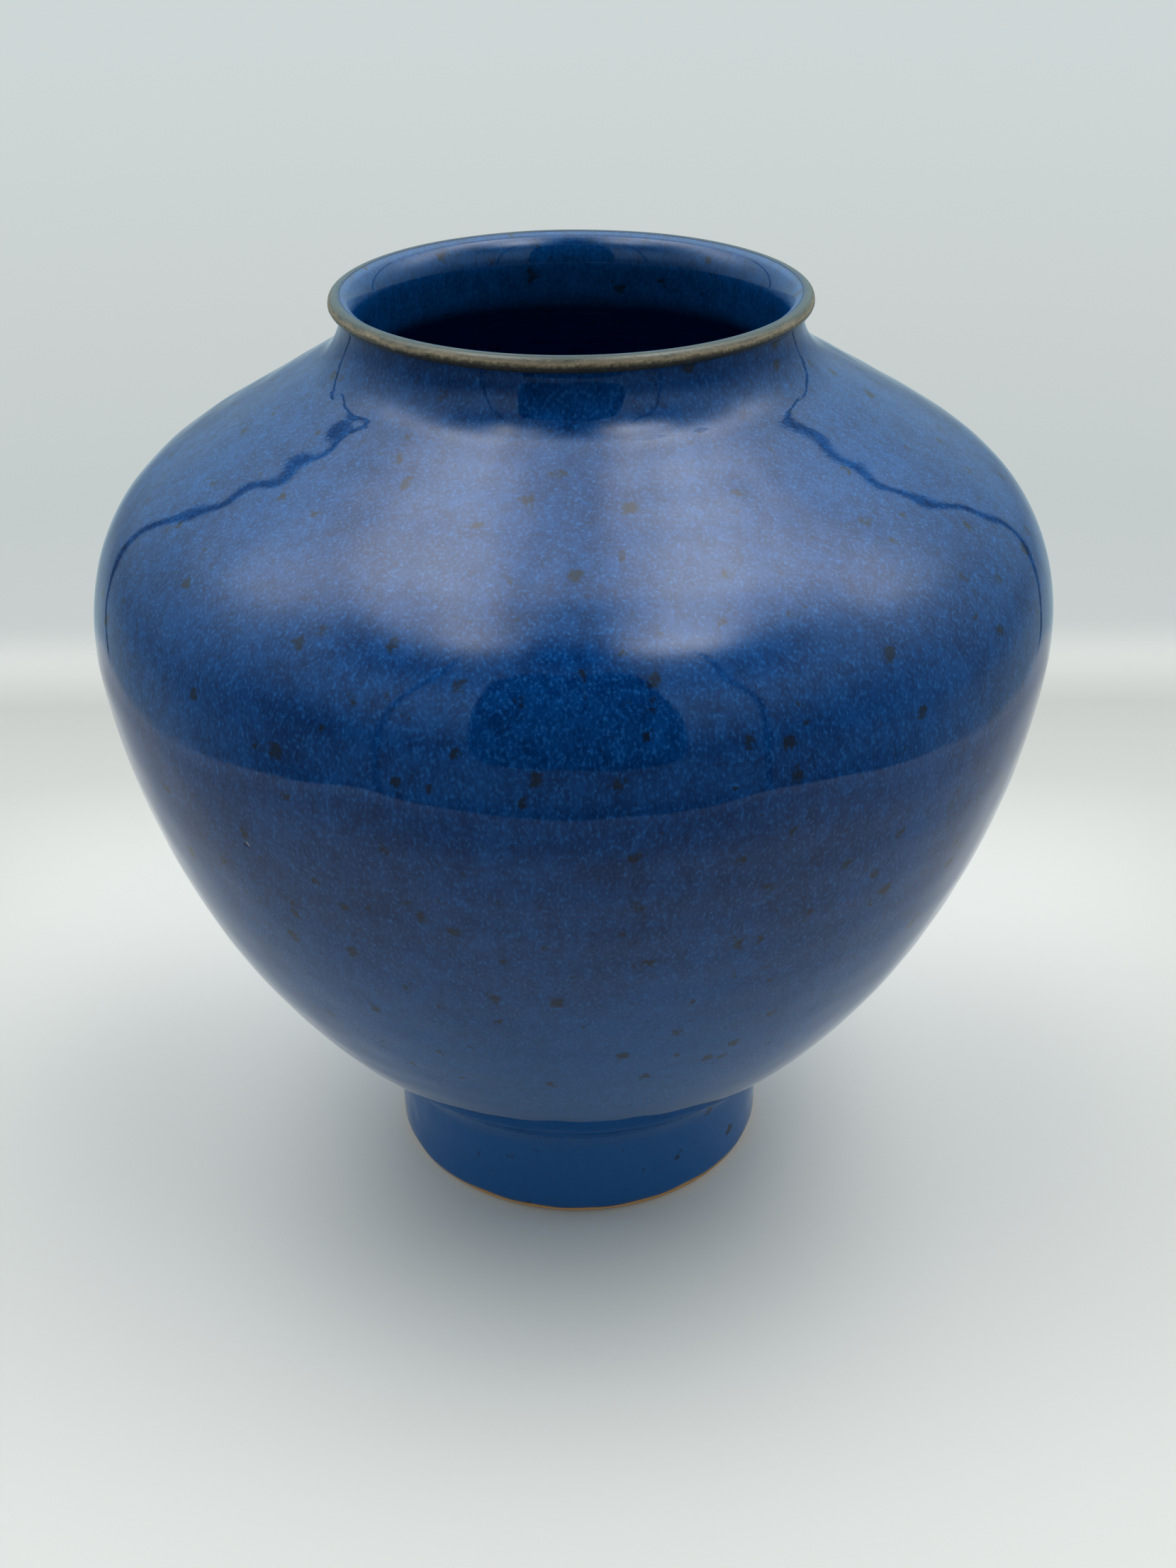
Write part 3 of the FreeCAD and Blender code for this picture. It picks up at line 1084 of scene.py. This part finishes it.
        # The walls beside and behind the vase are lit; the wall in front of it is in shade lower down.
        level = add("CombineXYZ", [x, y, 0.0])
        level = add("VectorMath:NORMALIZE", [level])
        facing = add("SeparateXYZ", [level]).outputs["Y"]
        beside = add("MapRange:SMOOTHSTEP", [facing, -0.55, 0.30])
        front, lit = [self.wall_light(add, z, points) for points in (self.front_wall, self.lit_wall)]
        wall = add("Mix:FLOAT", [beside, front, lit])
        total = add("Math:MULTIPLY", [wall, self.curve_top])
        # A patch falls off as the exponential of the cosine less one, over its spread squared.
        for lamp in self.lamps:
            dot = add("VectorMath:DOT_PRODUCT", [way, lamp.way()]).outputs["Value"]
            fall = 1.0 / math.radians(lamp.spread) ** 2
            drop = add("Math:MULTIPLY_ADD", [dot, fall, -fall])
            patch = add("Math:EXPONENT", [drop])
            total = add("Math:MULTIPLY_ADD", [patch, lamp.peak, total])
        # The corner seams: thin dark lines that end below the roof.
        aside, deep = [add("Math:ABSOLUTE", [value]) for value in (x, y)]
        off = add("Math:DIVIDE", [aside, deep])
        off = add("Math:SUBTRACT", [off, self.seam_slope])
        off = add("Math:ABSOLUTE", [off])
        seam = add("MapRange:SMOOTHSTEP", [off, 0.012, 0.045, 0.25])
        roof = add("MapRange:SMOOTHSTEP", [z, 0.80, 0.90])
        seam = add("Mix:FLOAT", [roof, seam, 1.0])
        total = add("Math:MULTIPLY", [total, seam])
        # The opening: a rounded rectangle on the front wall, as a superellipse.
        ahead = add("Math:MULTIPLY", [y, -1.0])
        ahead = add("Math:MAXIMUM", [ahead, 0.02])
        wide, tall = [add("Math:DIVIDE", [value, ahead]) for value in (x, z)]
        tall = add("Math:SUBTRACT", [tall, self.opening_middle])
        edge = 0.0
        for value, half in ((wide, self.opening_half_width), (tall, self.opening_half_height)):
            size = add("Math:DIVIDE", [value, half])
            size = add("Math:ABSOLUTE", [size])
            size = add("Math:POWER", [size, self.opening_power])
            edge = add("Math:ADD", [edge, size])
        cloth = add("MapRange:SMOOTHSTEP", [edge, 0.90, 1.12, 0.01, self.strength])
        total = add("Math:MULTIPLY", [total, cloth])
        # The lamps are whiter than the cloth that they light.
        bright = add("MapRange", [total, 0.9, 4.0])
        tone = add("Mix:RGBA", [bright, linear("#E4F9FF"), linear("#FFFEFB")])
        glow = add("Background", [tone, total])
        # What the camera sees past the floor: plain cloth, with painted shade in a band where the floor
        # turns up into the walls, and a little paler upwards.
        height = add("MapRange", [z, -0.60, 0.0])
        painted_backdrop_tone = add("ValToRGB", [height])
        paint_ramp(painted_backdrop_tone, (
            Stop(0.0, "#DDE1DF"), Stop(0.18, "#DCE0DE"), Stop(0.30, "#D3D8D7"), Stop(0.42, "#CFD5D5"),
            Stop(0.57, "#D4D9D9"), Stop(0.76, "#D7DEDE")))
        backdrop = add("Background", [painted_backdrop_tone, 1.0])
        seen = add("LightPath").outputs["Is Camera Ray"]
        both = add("MixShader", [seen, glow, backdrop])
        add("OutputWorld", [both])

    def softboxes(self) -> None:
        """Soft lamps all round, which give the vase its light and its shadow but no highlight."""
        for title, azimuth, elevation, power in self.panels:
            way = np.array(Lamp(azimuth, elevation).way())
            lamp = bpy.data.lights.new(title, "AREA")
            lamp.shape = "DISK"
            lamp.size = self.panel_size
            lamp.energy = power
            held = put(title, lamp)
            held.matrix_world = self.look(way * self.panel_distance + np.array(self.panel_aim), -way, 0.0)
            held.visible_glossy = False
            held.visible_camera = False

    @staticmethod
    def look(place: Array, forward: Array, roll: float) -> Matrix:
        """The pose of a camera or lamp that looks along a direction.

        Args:
            place: Where it is.
            forward: The unit direction that it looks along.
            roll: How far it is turned about that direction, in radians.

        Returns:
            Its matrix: right, up and backwards as columns, then its place.
        """
        right = np.cross(forward, [0.0, 0.0, 1.0])
        right /= np.linalg.norm(right)
        up = np.cross(right, forward)
        turned_right = math.cos(roll) * right - math.sin(roll) * up
        turned_up = math.sin(roll) * right + math.cos(roll) * up
        pose = np.eye(4)
        pose[:3, 0], pose[:3, 1], pose[:3, 2], pose[:3, 3] = turned_right, turned_up, -forward, place
        return Matrix(pose.tolist())

    def camera(self) -> None:
        """The camera, looking along the depth axis and down by its pitch."""
        lens = bpy.data.cameras.new("studio_camera")
        lens.sensor_fit = "HORIZONTAL"
        lens.sensor_width = self.sensor
        lens.lens = self.lens
        lens.clip_start = 0.01
        held = put("studio_camera", lens)
        forward = np.array([0.0, math.cos(self.camera_pitch), -math.sin(self.camera_pitch)])
        held.matrix_world = self.look(np.array(self.camera_place), forward, self.camera_roll)
        bpy.context.scene.camera = held

    def build(self) -> None:
        """Sets up the floor, the tent, the lamps and the camera."""
        self.floor()
        self.tent()
        self.softboxes()
        self.camera()
        view = bpy.context.scene.view_settings
        view.view_transform = "Standard"
        view.look = "None"
        view.gamma = self.gamma
        log.info("studio ready")


def main() -> None:
    """Builds the vase and its studio, in order."""
    logging.basicConfig(level=logging.INFO, format="%(name)s: %(message)s")
    outline = Outline()
    ThrownClay(outline).dress(BareClay().make())
    OuterCoat(outline).dress(Glaze("cobalt_blue_glaze").make())
    LipCoat(outline).dress(LipGlaze().make())
    InnerCoat(outline).dress(Glaze(
        "deep_blue_liner_glaze", deep="#053056", middle="#084474", pale="#1F5A86", foot_tone="#0C66AC",
        tone_top=0.176, tone_low=0.138, run_share=0.0).make())
    Studio().build()


if __name__ == "__main__":
    main()
